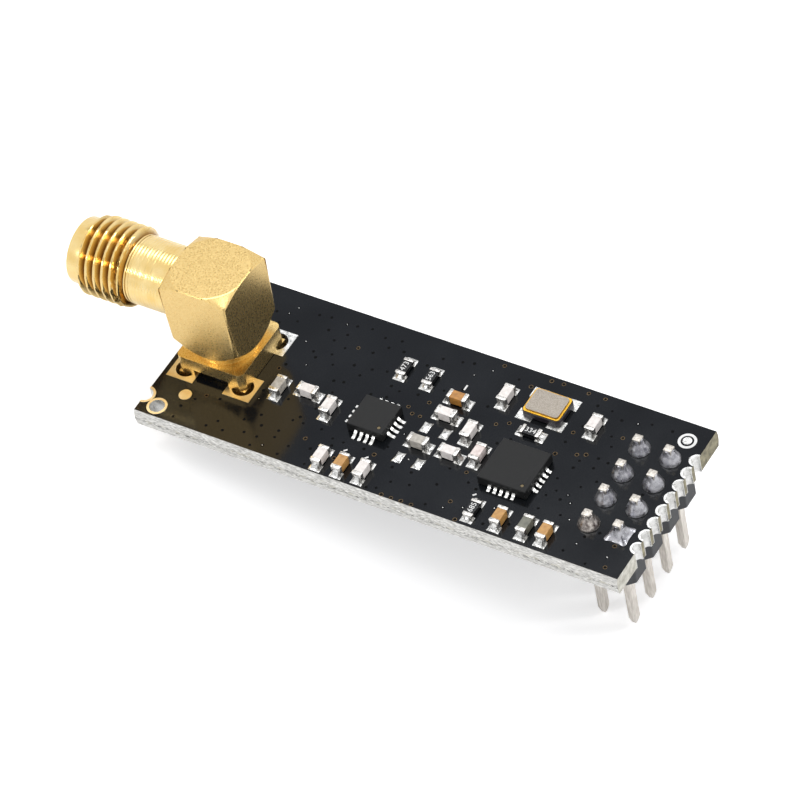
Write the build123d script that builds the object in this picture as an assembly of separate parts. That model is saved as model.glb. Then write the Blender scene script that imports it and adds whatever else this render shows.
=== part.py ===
from build123d import *
import os

# A small plug-in radio module: a black circuit board with a right-angle threaded coaxial jack
# at one end, an eight-pin header under the other end, and two radio chips, a crystal and
# chip capacitors and resistors soldered between them.
# Millimetres. The board lies level. X runs from the jack to the header, Z is up, and the
# origin is the centre of the board's underside.

# Circuit board
board_length = 41.0
board_width = 15.0
board_thickness = 1.6
score_depth = 0.55
score_lean = 0.12
copper = 0.05
plating = 0.05

# Length of a cutter that passes right through whatever it cuts
through = 40.0

# Half holes along the header end
castellation_count = 8
castellation_pitch = 1.27
castellation_bore = 0.82
castellation_ring = 0.16

# Plated hole in the jack-end corner, and the plated notch beside it
corner_hole_inset = 1.47
corner_hole_side = 0.92
corner_hole_bore = 1.2
notch_bore = 1.24
notch_side = 1.6
hole_ring = 0.2

# Bare alignment marks
front_mark_diameter = 1.0
front_mark_inset = 2.85
front_mark_side = 2.72
back_mark_diameter = 0.7
back_mark_inset = 1.5
back_mark_side = 1.65

# Pin header, two rows of four under the header end
header_pitch = 2.54
header_columns = 2
header_rows = 4
header_edge_distance = 1.8
insulator_height = 2.35
insulator_notch = 0.55
pin_width = 0.64
pin_gap = 0.02
pin_below = 5.8
pin_above = 1.3
pin_taper_length = 0.6
pin_taper_width = 0.34
pin_hole_clearance = 0.05
header_ring = 0.32
solder_gap = 0.01
cone_foot_margin = 0.03
cone_height = 1.05
cone_hollow = 0.47

# Jack: where it stands, and its axis above the board's top face
jack_edge_distance = 4.05
jack_axis_height = 6.8
jack_width = 5.8
jack_foot_height = 1.75
jack_foot_corner = 0.5
jack_top_wall = 0.3
jack_waist = 5.0
jack_waist_height = 0.5
jack_wall = 0.75
turned_bottom = 7.86
turned_top = 8.2
crown_flat = 6.0
crown_drop = 0.55
foot_slot_width = 3.0
foot_slot_height = 0.6

# Jack legs and the board's holes for them
leg_width = 0.85
leg_below = 2.5
leg_tip_chamfer = 0.15
leg_hole_clearance = 0.25
leg_ring = 0.3
tail_diameter = 0.9
tail_below = 2.0
tail_hole_clearance = 0.1
tail_ring = 0.35

# Jack barrel, a turned tube pressed into the body
mouth_wall = 0.3
mouth_length = 1.05
thread_major = 6.28
thread_length = 4.05
neck_diameter = 5.3
neck_length = 3.65
thread_end_chamfer = 0.3
spigot_diameter = 4.8
spigot_length = 1.2
press_gap = 0.02
mouth_bore = 4.6
mouth_depth = 1.9
mouth_lead = 0.15
dielectric_diameter = 4.1
contact_wall = 0.165
contact_bore = 0.94
contact_bore_depth = 3.0
contact_slot = 0.16
contact_slot_length = 2.2
contact_tail = 0.6
tail_head_above = 0.6
tail_head_gap = 0.2

# Solder on the underside of the jack
foot_fillet_margin = 0.1
foot_fillet_skin = 0.05
foot_fillet_height = 1.0

# Chip capacitors and resistors
chip_length = 1.6
chip_width = 0.8
capacitor_height = 0.8
resistor_height = 0.45
terminal_length = 0.3
terminal_wall = 0.03
terminal_edge = 0.05
resistor_terminal_length = 0.28
land_width = 0.96
land_reach = 0.36
land_tuck = 0.3
solder_rise = 0.7
solder_width = 0.62
solder_hollow = 0.35

# Leadless chip packages
amplifier_side = 3.0
transceiver_side = 4.0
package_height = 0.85
package_edge = 0.05
lead_pitch = 0.5
lead_width = 0.24
lead_tuck = 0.3
lead_rise = 0.3
amplifier_lead_reach = 0.62
amplifier_lead_count = 4
transceiver_lead_reach = 0.4
transceiver_lead_count = 5
pin_mark_diameter = 0.3
pin_mark_inset = 0.5
pin_mark_depth = 0.04

# Crystal
crystal_length = 3.2
crystal_width = 2.5
crystal_base_height = 0.5
crystal_base_corner = 0.25
seal_inset = 0.08
seal_height = 0.09
lid_inset = 0.22
lid_height = 0.14
lid_rim = 0.16
lid_rim_height = 0.04
crystal_pad_length = 1.3
crystal_pad_width = 1.0
crystal_pad_reach = 0.35

# Where each part stands, so that the layout spreads with the board: percent of the board's length
# from the jack end, percent of its width from the front edge, and whether it is turned across
capacitor_places = [
    (22.4, 39.5, True),
    (28.0, 42.5, False),
    (33.4, 37.7, True),
    (38.1, 8.3, True),
    (42.4, 8.3, True),
    (46.7, 8.8, True),
    (54.2, 67.1, False),
    (54.1, 56.0, False),
    (59.9, 51.0, True),
    (52.7, 35.2, False),
    (59.1, 35.2, False),
    (64.0, 40.0, True),
    (61.8, 78.4, True),
    (79.8, 78.4, True),
    (74.7, 9.2, True),
    (79.9, 9.5, True),
    (83.8, 9.7, True),
]
resistor_places = [
    (41.3, 75.3, True),
    (46.9, 74.7, True),
    (70.0, 62.9, False),
    (69.2, 9.3, True),
]
empty_places = [
    (53.7, 46.7, False),
    (52.7, 24.8, False),
]
amplifier_place = (42.6, 40.0)
transceiver_place = (71.8, 38.7)
crystal_place = (70.0, 80.1)

board_top = board_thickness
board_end = board_length / 2
header_x = board_end - header_edge_distance - header_pitch * (header_columns - 1) / 2
jack_x = jack_edge_distance - board_end
axis_z = board_top + jack_axis_height
land_top = board_top + copper

# Sizes that follow from what has to fit inside or against them
corner_to_corner = 2**0.5
header_bore = pin_width * corner_to_corner + 2 * pin_hole_clearance
header_pad = header_bore + 2 * header_ring
leg_pitch = jack_width - leg_width
leg_bore = leg_width * corner_to_corner + 2 * leg_hole_clearance
leg_pad = leg_bore + 2 * leg_ring
tail_bore = tail_diameter + 2 * tail_hole_clearance
tail_pad = tail_bore + 2 * tail_ring
jack_body_bore = jack_width - 2 * jack_wall
mouth_diameter = mouth_bore + 2 * mouth_wall
contact_diameter = contact_bore + 2 * contact_wall
mouth_x = jack_x - jack_width / 2 - neck_length - thread_length - mouth_length


def tube(outer, bore, low, high):
    """A plain ring between two heights."""
    ring = Circle(outer / 2) - Circle(bore / 2)
    return extrude(Plane.XY.offset(low) * ring, amount=high - low)


def plated_hole(bore, pad_face):
    """Copper on both faces of the board, joined through its hole."""
    top = Plane.XY.offset(board_top) * (pad_face - Circle(bore / 2))
    bottom = Plane.XY.offset(-copper) * (pad_face - Circle(bore / 2))
    barrel = tube(bore + 2 * plating, bore, 0, board_top)
    return barrel + extrude(top, amount=copper) + extrude(bottom, amount=copper)


def header_spots():
    """Centre of each header pin, row by row from the front."""
    grid = GridLocations(header_pitch, header_pitch, header_columns, header_rows)
    spots = [(header_x + spot.position.X, spot.position.Y) for spot in grid]
    return sorted(spots, key=lambda spot: (round(spot[1], 3), spot[0]))


def leg_spots():
    """Centres of the four jack legs, which stand under the corners of the body."""
    grid = GridLocations(leg_pitch, leg_pitch, 2, 2)
    return [(jack_x + spot.position.X, spot.position.Y) for spot in grid]


def castellation_spots():
    """Centre of each half hole on the header end."""
    first = -castellation_pitch * (castellation_count - 1) / 2
    return [(board_end, first + castellation_pitch * i) for i in range(castellation_count)]


def corner_spot():
    return (corner_hole_inset - board_end, corner_hole_side - board_width / 2)


def notch_spot():
    return (-board_end, notch_side - board_width / 2)


def board_blank():
    """The snapped panel: its long edges lean out to a broken band between two score grooves."""
    half = board_width / 2
    lean = half + score_lean
    outline = Polyline(
        (-half, 0),
        (half, 0),
        (lean, score_depth),
        (lean, board_top - score_depth),
        (half, board_top),
        (-half, board_top),
        (-lean, board_top - score_depth),
        (-lean, score_depth),
        close=True,
    )
    return extrude(Plane.YZ.offset(-board_end) * make_face(outline), amount=board_length)


def circuit_board():
    board = board_blank()
    holes = [(spot, header_bore) for spot in header_spots()]
    holes += [(spot, leg_bore) for spot in leg_spots()]
    holes += [(spot, castellation_bore) for spot in castellation_spots()]
    holes += [((jack_x, 0), tail_bore), (corner_spot(), corner_hole_bore), (notch_spot(), notch_bore)]
    for (x, y), bore in holes:
        board -= Pos(x, y, 0) * Cylinder(bore / 2 + plating, through)
    return board


def edge_plating():
    """Plated half holes: what the cutter left of eight plated holes at the board's end."""
    ring = Circle(castellation_bore / 2 + castellation_ring)
    whole = plated_hole(castellation_bore, ring)
    cut_away = Pos(board_length, 0, 0) * Box(board_length, board_width, through)
    return [Pos(x, y, 0) * whole - cut_away for x, y in castellation_spots()]


def corner_plating():
    """The corner hole and the notch beside it share one patch of copper on each face."""
    patches = [
        Pos(*corner_spot(), 0) * plated_hole(corner_hole_bore, Circle(corner_hole_bore / 2 + hole_ring)),
        Pos(*notch_spot(), 0) * plated_hole(notch_bore, Circle(notch_bore / 2 + hole_ring)),
    ]
    joined = patches[0] + patches[1]
    for (x, y), bore in ((corner_spot(), corner_hole_bore), (notch_spot(), notch_bore)):
        joined -= Pos(x, y, 0) * Cylinder(bore / 2, through)
    return joined & Box(board_length, board_width, through)


def alignment_marks():
    """Bare copper dots: one beside the jack, and a smaller one in the opposite corner."""
    front = Pos(front_mark_inset - board_end, front_mark_side - board_width / 2, board_top)
    back = Pos(board_end - back_mark_inset, board_width / 2 - back_mark_side, board_top)
    on_board = (Align.CENTER, Align.CENTER, Align.MIN)
    return [
        front * Cylinder(front_mark_diameter / 2, copper, align=on_board),
        back * Cylinder(back_mark_diameter / 2, copper, align=on_board),
    ]


def header_insulator():
    """Eight octagonal cells moulded in one piece, drilled for the pins."""
    cell = Rectangle(header_pitch * header_columns, header_pitch)
    cell = chamfer(cell.vertices(), insulator_notch)
    strip = Sketch() + [Pos(0, y) * cell for _, y in header_spots()[::header_columns]]
    body = extrude(Plane.XY.offset(-copper - insulator_height) * strip, amount=insulator_height)
    body = Pos(header_x, 0, 0) * body
    for x, y in header_spots():
        body -= Pos(x, y, 0) * Box(pin_width + pin_gap, pin_width + pin_gap, through)
    return body


def header_pin():
    """A square post with a blunt taper at the plug end, standing on the header's datum."""
    low = -copper - insulator_height - pin_below
    shoulder = low + pin_taper_length
    high = board_top + pin_above
    shank = extrude(Plane.XY.offset(shoulder) * Rectangle(pin_width, pin_width), amount=high - shoulder)
    tip = loft(
        [
            Plane.XY.offset(low) * Rectangle(pin_taper_width, pin_taper_width),
            Plane.XY.offset(shoulder) * Rectangle(pin_width, pin_width),
        ]
    )
    return shank + tip


def header_pads():
    """Round plated holes for the pins, and a square one that marks the first pin."""
    pads = []
    for number, (x, y) in enumerate(header_spots()):
        first = number == header_columns - 1
        face = Rectangle(header_pad, header_pad) if first else Circle(header_pad / 2)
        pads.append(Pos(x, y, 0) * plated_hole(header_bore, face))
    return pads


def solder_flank(foot, top, hollow):
    """Arc from a foot out on the land to a top against the part, pulled in towards their corner."""
    middle_x = (foot[0] + top[0]) / 2
    middle_z = (foot[1] + top[1]) / 2
    bow = (middle_x + hollow * (top[0] - middle_x), middle_z + hollow * (foot[1] - middle_z))
    ThreePointArc(foot, bow, top)


def header_solder():
    """A hollow-flanked cone of solder round each pin, filling the hole below it."""
    fill = header_bore / 2 - solder_gap
    foot = (header_pad / 2 - cone_foot_margin, land_top)
    peak = (header_bore / 2, land_top + cone_height)
    with BuildPart() as cone:
        with BuildSketch(Plane.XZ):
            with BuildLine():
                Polyline((0, -copper), (fill, -copper), (fill, land_top), foot)
                solder_flank(foot, peak, cone_hollow)
                Polyline(peak, (0, peak[1]), (0, -copper))
            make_face()
        revolve(axis=Axis.Z)
    joint = cone.part - Box(pin_width, pin_width, through)
    return [Pos(x, y, 0) * joint for x, y in header_spots()]


def jack_body():
    """Square bar, turned from below to a waist and from above to a crown, on a four-legged foot."""
    foot_top = board_top + jack_foot_height
    body_top = axis_z + spigot_diameter / 2 + jack_top_wall
    waist = jack_waist / 2
    cone_low = foot_top + jack_waist_height
    cone_high = cone_low + turned_bottom / 2 - waist
    with BuildPart() as turned:
        with BuildSketch(Plane.XZ):
            with BuildLine():
                Polyline(
                    (0, foot_top),
                    (waist, foot_top),
                    (waist, cone_low),
                    (turned_bottom / 2, cone_high),
                    (turned_top / 2, body_top - crown_drop),
                    (crown_flat / 2, body_top),
                    (0, body_top),
                    close=True,
                )
            make_face()
        revolve(axis=Axis.Z)
    bar = Rectangle(jack_width, jack_width)
    block = extrude(Plane.XY.offset(foot_top) * bar, amount=body_top - foot_top) & turned.part
    base = fillet(bar.vertices(), jack_foot_corner)
    foot = extrude(Plane.XY.offset(land_top) * base, amount=foot_top - land_top)
    slot = Box(foot_slot_width, through, 2 * foot_slot_height)
    body = Pos(jack_x, 0, 0) * (block + foot - Pos(0, 0, land_top) * slot)
    leg = Rectangle(leg_width, leg_width)
    leg = extrude(Plane.XY.offset(-leg_below) * leg, amount=leg_below + land_top)
    leg = chamfer(leg.faces().sort_by(Axis.Z)[0].edges(), leg_tip_chamfer)
    for x, y in leg_spots():
        body += Pos(x, y, 0) * leg
    # Half of this cutter lies outside the face that the barrel is pressed into
    seat = Cylinder(spigot_diameter / 2 + press_gap, 2 * spigot_length, rotation=(0, 90, 0))
    body -= Pos(jack_x - jack_width / 2, 0, axis_z) * seat
    way = Cylinder(jack_body_bore / 2, jack_width / 2, rotation=(0, 90, 0))
    body -= Pos(jack_x - jack_width / 4, 0, axis_z) * way
    well_height = axis_z + tail_head_above + tail_head_gap - land_top
    well = Cylinder(jack_body_bore / 2, well_height, align=(Align.CENTER, Align.CENTER, Align.MIN))
    return body - Pos(jack_x, 0, land_top) * well


def jack_profile(points):
    """Turn a half section, given as distance from the mouth and radius, about the jack's axis."""
    with BuildPart() as turned:
        with BuildSketch(Plane.XZ):
            with BuildLine():
                Polyline(*[(mouth_x + along, axis_z + radius) for along, radius in points], close=True)
            make_face()
        revolve(axis=Axis((0, 0, axis_z), (1, 0, 0)))
    return turned.part


def jack_barrel():
    """Mouth ring, thread, neck and spigot, bored for the plug and for the white dielectric."""
    thread_start = mouth_length
    thread_end = mouth_length + thread_length
    shoulder = thread_end + neck_length
    rear = shoulder + spigot_length - press_gap
    bore = dielectric_diameter / 2 + press_gap
    step = thread_end_chamfer
    outside = [
        (0, mouth_diameter / 2),
        (thread_start, mouth_diameter / 2),
        (thread_start, thread_major / 2 - step),
        (thread_start + step, thread_major / 2),
        (thread_end - step, thread_major / 2),
        (thread_end, neck_diameter / 2),
        (shoulder, neck_diameter / 2),
        (shoulder, spigot_diameter / 2),
        (rear, spigot_diameter / 2),
    ]
    inside = [
        (rear, bore),
        (mouth_depth, bore),
        (mouth_depth, mouth_bore / 2),
        (mouth_lead, mouth_bore / 2),
        (0, mouth_bore / 2 + mouth_lead),
    ]
    return jack_profile(outside + inside)


def jack_dielectric():
    """White sleeve that holds the socket in the middle of the barrel."""
    rear = mouth_length + thread_length + neck_length + spigot_length - press_gap
    inner = contact_diameter / 2 + press_gap
    outer = dielectric_diameter / 2
    return jack_profile([(mouth_depth, inner), (rear, inner), (rear, outer), (mouth_depth, outer)])


def jack_contact():
    """The socket for the plug's pin: bored and slotted in front, drawn down to a wire behind."""
    step_back = mouth_length + thread_length + neck_length + spigot_length
    rear = mouth_length + thread_length + neck_length + jack_width / 2 + tail_diameter / 2
    floor = mouth_depth + contact_bore_depth
    socket = jack_profile(
        [
            (mouth_depth, contact_bore / 2),
            (floor, contact_bore / 2),
            (floor, 0),
            (rear, 0),
            (rear, contact_tail / 2),
            (step_back, contact_tail / 2),
            (step_back, contact_diameter / 2),
            (mouth_depth, contact_diameter / 2),
        ]
    )
    # Half of this cutter lies in front of the socket
    slit = Box(2 * contact_slot_length, contact_slot, 2 * contact_diameter)
    return socket - Pos(mouth_x + mouth_depth, 0, axis_z) * slit


def jack_tail():
    """The upright pin that carries the signal from the socket down through the board."""
    low = -tail_below
    height = axis_z + tail_head_above - low
    pin = Cylinder(tail_diameter / 2, height, align=(Align.CENTER, Align.CENTER, Align.MIN))
    cross = Cylinder(contact_tail / 2 + solder_gap, 2 * tail_diameter, rotation=(0, 90, 0))
    return Pos(jack_x, 0, low) * pin - Pos(jack_x, 0, axis_z) * cross


def jack_bush():
    """White bush that centres the upright pin in the foot."""
    low = land_top
    high = axis_z - spigot_diameter / 2 - press_gap
    bush = tube(jack_body_bore - 2 * press_gap, tail_diameter + 2 * press_gap, low, high)
    return Pos(jack_x, 0, 0) * bush


def jack_pads():
    """Four square plated holes for the legs and a round one for the tail."""
    pads = [
        Pos(x, y, 0) * plated_hole(leg_bore, Rectangle(leg_pad, leg_pad))
        for x, y in leg_spots()
    ]
    return pads + [Pos(jack_x, 0, 0) * plated_hole(tail_bore, Circle(tail_pad / 2))]


def underside_cone(post_across, pad):
    """Solder that hangs under a pad and thins towards the tip of its post."""
    tip = post_across / 2 + foot_fillet_skin
    base = pad / 2 - foot_fillet_margin
    cone = Cone(tip, base, foot_fillet_height, align=(Align.CENTER, Align.CENTER, Align.MAX))
    return Pos(0, 0, -copper) * cone


def jack_solder():
    """Solder fillets under the board, round each leg and round the tail."""
    leg_joint = underside_cone(leg_width * corner_to_corner, leg_pad) - Box(leg_width, leg_width, through)
    tail_joint = underside_cone(tail_diameter, tail_pad) - Cylinder(tail_diameter / 2 + solder_gap, through)
    return [Pos(x, y, 0) * leg_joint for x, y in leg_spots()] + [Pos(jack_x, 0, 0) * tail_joint]


def board_spot(percent_along, percent_across):
    """The point of the board's layout that a place names."""
    x = board_length * percent_along / 100 - board_end
    y = board_width * percent_across / 100 - board_width / 2
    return Pos(x, y, 0)


def stand(place, shape):
    """Put a part that was made at the origin, lying along X, on its place on the board."""
    along, across, turned = place
    return board_spot(along, across) * Rot(0, 0, 90 if turned else 0) * shape


def chip_core(height):
    """Body of a chip capacitor or resistor, inside its two end caps."""
    bare = 2 * terminal_wall
    core = Box(chip_length - bare, chip_width - bare, height - bare)
    return Pos(0, 0, land_top + height / 2) * core


def chip_caps(height, length):
    """The two metal caps that wrap the ends of a chip."""
    cap = Box(length, chip_width, height)
    cap = chamfer(cap.faces().sort_by(Axis.X)[0].edges(), terminal_edge)
    left = Pos((length - chip_length) / 2, 0, land_top + height / 2) * cap
    left = left - chip_core(height)
    return [left, Rot(0, 0, 180) * left]


def chip_joints(height):
    """Tinned land and solder fillet at each end of a chip."""
    rise = solder_rise * height
    end = chip_length / 2
    tip = end + land_reach
    land = Box(land_tuck + land_reach, land_width, copper)
    land = Pos(end + (land_reach - land_tuck) / 2, 0, board_top + copper / 2) * land
    with BuildPart() as ramp:
        with BuildSketch(Plane.XZ):
            with BuildLine():
                Line((end, land_top), (tip, land_top))
                solder_flank((tip, land_top), (end, land_top + rise), solder_hollow)
                Line((end, land_top + rise), (end, land_top))
            make_face()
        extrude(amount=solder_width / 2, both=True)
    joint = land + ramp.part
    return [joint, Rot(0, 0, 180) * joint]


def empty_lands():
    """Domed solder left on the lands of a part that isn't fitted."""
    land = Box(land_tuck + land_reach + solder_gap, land_width, 2 * copper)
    land = chamfer(land.faces().sort_by(Axis.Z)[-1].edges(), copper)
    pair = []
    for side in (-1, 1):
        x = side * (chip_length / 2 + (land_reach - land_tuck) / 2)
        pair.append(Pos(x, 0, board_top + copper) * land)
    return [stand(place, land) for place in empty_places for land in pair]


def package_body(place, side):
    """Moulded square package with a dimple over its first lead."""
    body = Box(side, side, package_height)
    body = chamfer(body.faces().sort_by(Axis.Z)[-1].edges(), package_edge)
    corner = side / 2 - pin_mark_inset
    dimple = Cylinder(pin_mark_diameter / 2, 2 * pin_mark_depth)
    body -= Pos(corner, -corner, package_height / 2) * dimple
    return board_spot(*place) * Pos(0, 0, land_top + package_height / 2) * body


def package_leads(place, side, reach, count):
    """Flat leads under each edge, with the solder that climbs the side of the package."""
    edge = side / 2
    with BuildPart() as lead:
        with BuildSketch(Plane.XZ):
            with BuildLine():
                Polyline(
                    (edge, land_top),
                    (edge - lead_tuck, land_top),
                    (edge - lead_tuck, board_top),
                    (edge + reach, board_top),
                    (edge + reach, land_top),
                )
                solder_flank((edge + reach, land_top), (edge, land_top + lead_rise), solder_hollow)
                Line((edge, land_top + lead_rise), (edge, land_top))
            make_face()
        extrude(amount=lead_width / 2, both=True)
    first = -lead_pitch * (count - 1) / 2
    leads = []
    for turn in range(4):
        for i in range(count):
            row = Pos(0, first + lead_pitch * i, 0) * lead.part
            leads.append(board_spot(*place) * Rot(0, 0, 90 * turn) * row)
    return leads


def crystal_base():
    base = Rectangle(crystal_length, crystal_width)
    base = chamfer(base.vertices(), crystal_base_corner)
    return board_spot(*crystal_place) * extrude(Plane.XY.offset(land_top) * base, amount=crystal_base_height)


def crystal_plate(inset, corner):
    plate = Rectangle(crystal_length - 2 * inset, crystal_width - 2 * inset)
    return fillet(plate.vertices(), corner)


def crystal_seal():
    low = land_top + crystal_base_height
    plate = crystal_plate(seal_inset, crystal_base_corner)
    return board_spot(*crystal_place) * extrude(Plane.XY.offset(low) * plate, amount=seal_height)


def crystal_lid():
    """Welded lid, with a rolled rim round a flat panel."""
    low = land_top + crystal_base_height + seal_height
    outer = crystal_plate(lid_inset, crystal_base_corner)
    inner = crystal_plate(lid_inset + lid_rim, crystal_base_corner / 2)
    lid = extrude(Plane.XY.offset(low) * outer, amount=lid_height)
    panel = extrude(Plane.XY.offset(low + lid_height) * inner, amount=-lid_rim_height)
    return board_spot(*crystal_place) * (lid - panel)


def crystal_joints():
    pad = Box(crystal_pad_length, crystal_pad_width, copper)
    x = crystal_length / 2 + crystal_pad_reach - crystal_pad_length / 2
    y = crystal_width / 2 + crystal_pad_reach - crystal_pad_width / 2
    spots = [(x, y), (-x, y), (-x, -y), (x, -y)]
    return [board_spot(*crystal_place) * Pos(dx, dy, board_top + copper / 2) * pad for dx, dy in spots]


def as_solids(shapes):
    """Flatten what a function returns to the separate solids of one node."""
    group = []
    for shape in shapes if isinstance(shapes, list) else [shapes]:
        group.extend(shape.solids())
    return group


def save(name, shapes):
    solids = as_solids(shapes)
    export_step(solids[0] if len(solids) == 1 else Compound(solids), f"parts/{name}.step")


os.makedirs("parts", exist_ok=True)

save("circuit_board", circuit_board())
save("edge_plating", edge_plating())
save("corner_plating", corner_plating())
save("alignment_marks", alignment_marks())

save("header_insulator", header_insulator())
save("header_pads", header_pads())
save("header_solder", header_solder())
for number, (x, y) in enumerate(header_spots(), start=1):
    save(f"header_pin_{number}", Pos(x, y, 0) * header_pin())

save("jack_body", jack_body())
save("jack_barrel", jack_barrel())
save("jack_dielectric", jack_dielectric())
save("jack_contact", jack_contact())
save("jack_tail", jack_tail())
save("jack_bush", jack_bush())
save("jack_pads", jack_pads())
save("jack_solder", jack_solder())

save("amplifier_chip", package_body(amplifier_place, amplifier_side))
amplifier_size = (amplifier_side, amplifier_lead_reach, amplifier_lead_count)
save("amplifier_leads", package_leads(amplifier_place, *amplifier_size))
save("transceiver_chip", package_body(transceiver_place, transceiver_side))
transceiver_size = (transceiver_side, transceiver_lead_reach, transceiver_lead_count)
save("transceiver_leads", package_leads(transceiver_place, *transceiver_size))

save("crystal_base", crystal_base())
save("crystal_seal", crystal_seal())
save("crystal_lid", crystal_lid())
save("crystal_joints", crystal_joints())

for number, place in enumerate(capacitor_places, start=1):
    save(f"capacitor_{number}", stand(place, chip_core(capacitor_height)))
for number, place in enumerate(resistor_places, start=1):
    save(f"resistor_{number}", stand(place, chip_core(resistor_height)))

capacitor_caps = chip_caps(capacitor_height, terminal_length)
resistor_caps = chip_caps(resistor_height, resistor_terminal_length)
save("capacitor_terminals", [stand(place, cap) for place in capacitor_places for cap in capacitor_caps])
save("resistor_terminals", [stand(place, cap) for place in resistor_places for cap in resistor_caps])

capacitor_joints = chip_joints(capacitor_height)
resistor_joints = chip_joints(resistor_height)
chip_solder = [stand(place, joint) for place in capacitor_places for joint in capacitor_joints]
chip_solder += [stand(place, joint) for place in resistor_places for joint in resistor_joints]
save("chip_solder", chip_solder)
save("empty_lands", empty_lands())
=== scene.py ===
# Looks of a small plug-in radio module, dressed over its solid frame. Everything is in metres,
# in the frame's own axes: the board lies level, X runs from the jack to the pin header, Z is up.
import math
import random

import bmesh
import bpy
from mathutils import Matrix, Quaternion, Vector, noise


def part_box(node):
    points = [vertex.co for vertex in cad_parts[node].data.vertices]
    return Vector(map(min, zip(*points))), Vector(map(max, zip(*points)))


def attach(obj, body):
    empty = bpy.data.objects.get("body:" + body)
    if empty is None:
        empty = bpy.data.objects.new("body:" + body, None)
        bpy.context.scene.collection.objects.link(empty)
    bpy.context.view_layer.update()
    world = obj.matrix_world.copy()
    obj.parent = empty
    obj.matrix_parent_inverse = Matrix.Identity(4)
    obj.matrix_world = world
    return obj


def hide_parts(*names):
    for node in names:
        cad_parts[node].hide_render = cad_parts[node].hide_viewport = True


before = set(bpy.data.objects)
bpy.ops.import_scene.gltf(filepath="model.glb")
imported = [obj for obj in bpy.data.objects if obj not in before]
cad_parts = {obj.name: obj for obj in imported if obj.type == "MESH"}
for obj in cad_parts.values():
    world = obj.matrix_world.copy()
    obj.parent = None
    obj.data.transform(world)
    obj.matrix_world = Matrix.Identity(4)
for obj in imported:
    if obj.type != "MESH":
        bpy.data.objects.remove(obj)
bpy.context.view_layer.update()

# Camera: a long lens that looks down on the front right of the module. It is level with the
# table, not with the board, which leans on its longer header pins.
MM = 0.001
camera_at = Vector((157.18, -192.14, 275.14)) * MM
camera_aim = Vector((-2.46, 1.08, 1.6)) * MM
camera_roll = math.radians(-12.47)
camera_lens = 227.5
camera_sensor = 36
camera_near = 10 * MM

camera = bpy.data.objects.new("camera", bpy.data.cameras.new("camera"))
camera.data.sensor_width = camera_sensor
camera.data.lens = camera_lens
camera.data.clip_start = camera_near
camera.location = camera_at
camera.rotation_mode = "QUATERNION"
camera_turn = (camera_aim - camera_at).to_track_quat("-Z", "Y")
camera.rotation_quaternion = camera_turn @ Quaternion((0, 0, 1), camera_roll)
bpy.context.collection.objects.link(camera)
bpy.context.scene.camera = camera
bpy.context.scene.view_settings.view_transform = "Standard"


# Table: matt white laminate under the tips of the pins and of the jack's legs. It fades out where
# no shadow reaches it, and the white of the room takes over.
def srgb(code):
    """Linear colour of an sRGB hex code."""
    parts = [int(code[i : i + 2], 16) / 255 for i in (1, 3, 5)]
    return [c / 12.92 if c <= 0.04045 else ((c + 0.055) / 1.055) ** 2.4 for c in parts] + [1]


def add(tree, kind, settings=(), inputs=()):
    """Adds a node, sets its properties, and sets or links its inputs."""
    node = tree.nodes.new(kind)
    for name, value in dict(settings).items():
        setattr(node, name, value)
    for socket, value in dict(inputs).items():
        if isinstance(value, bpy.types.NodeSocket):
            tree.links.new(value, node.inputs[socket])
        else:
            node.inputs[socket].default_value = value
    return node


def start_finish(name, sockets):
    """A material with its main shader set, and the place of each point of the piece in metres."""
    finish = bpy.data.materials.new(name)
    finish.use_nodes = True
    tree = finish.node_tree
    shader = tree.nodes["Principled BSDF"]
    for socket, value in sockets.items():
        shader.inputs[socket].default_value = value
    return finish, tree, shader, add(tree, "ShaderNodeTexCoord").outputs["Object"]


def make_piece(name, points, faces, finishes, face_finish=None, smooth=True):
    """A mesh object from points in metres and faces, with its materials."""
    mesh = bpy.data.meshes.new(name)
    mesh.from_pydata([tuple(p) for p in points], [], faces)
    for finish in finishes:
        mesh.materials.append(finish)
    if face_finish:
        mesh.polygons.foreach_set("material_index", face_finish)
    mesh.polygons.foreach_set("use_smooth", [smooth] * len(mesh.polygons))
    mesh.update()
    piece = bpy.data.objects.new(name, mesh)
    bpy.context.collection.objects.link(piece)
    return piece


leg_tip_inset = 0.15 * MM
pin_tip_half = 0.17 * MM
table_gap = 0.02 * MM
table_radius = 75 * MM
table_fade = (32 * MM, 70 * MM)
table_segments = 96
backdrop_lift = 0.42
mirrored_share = 0.25
body_low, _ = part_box("jack_body")
pin_low, pin_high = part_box("header_pin_1")
leg_x = body_low.x + leg_tip_inset
pin_x = (pin_low.x + pin_high.x) / 2 - pin_tip_half
table_slope = (pin_low.z - body_low.z) / (pin_x - leg_x)


def table_height(x):
    """Height of the table at this X. It slopes, because the module leans on its longer pins."""
    return body_low.z + table_slope * (x - leg_x) - table_gap


laminate, tree, shader, place = start_finish(
    "white_laminate_table", {"Base Color": srgb("#F0F0F1"), "Roughness": 0.55, "Specular IOR Level": 0.2}
)
away = add(tree, "ShaderNodeVectorMath", {"operation": "LENGTH"}, {0: place}).outputs["Value"]
fade = add(
    tree,
    "ShaderNodeMapRange",
    {"interpolation_type": "SMOOTHSTEP"},
    {"Value": away, "From Min": table_fade[0], "From Max": table_fade[1]},
).outputs["Result"]
clear = add(tree, "ShaderNodeBsdfTransparent").outputs["BSDF"]
path = add(tree, "ShaderNodeLightPath").outputs
mirrored = add(
    tree, "ShaderNodeMath", {"operation": "MULTIPLY"}, {0: path["Is Glossy Ray"], 1: mirrored_share}
).outputs[0]
seen = add(
    tree, "ShaderNodeMath", {"operation": "MAXIMUM"}, {0: path["Is Camera Ray"], 1: mirrored}
).outputs[0]
seen = add(
    tree, "ShaderNodeMath", {"operation": "MAXIMUM"}, {0: seen, 1: path["Is Transmission Ray"]}
).outputs[0]
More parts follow.
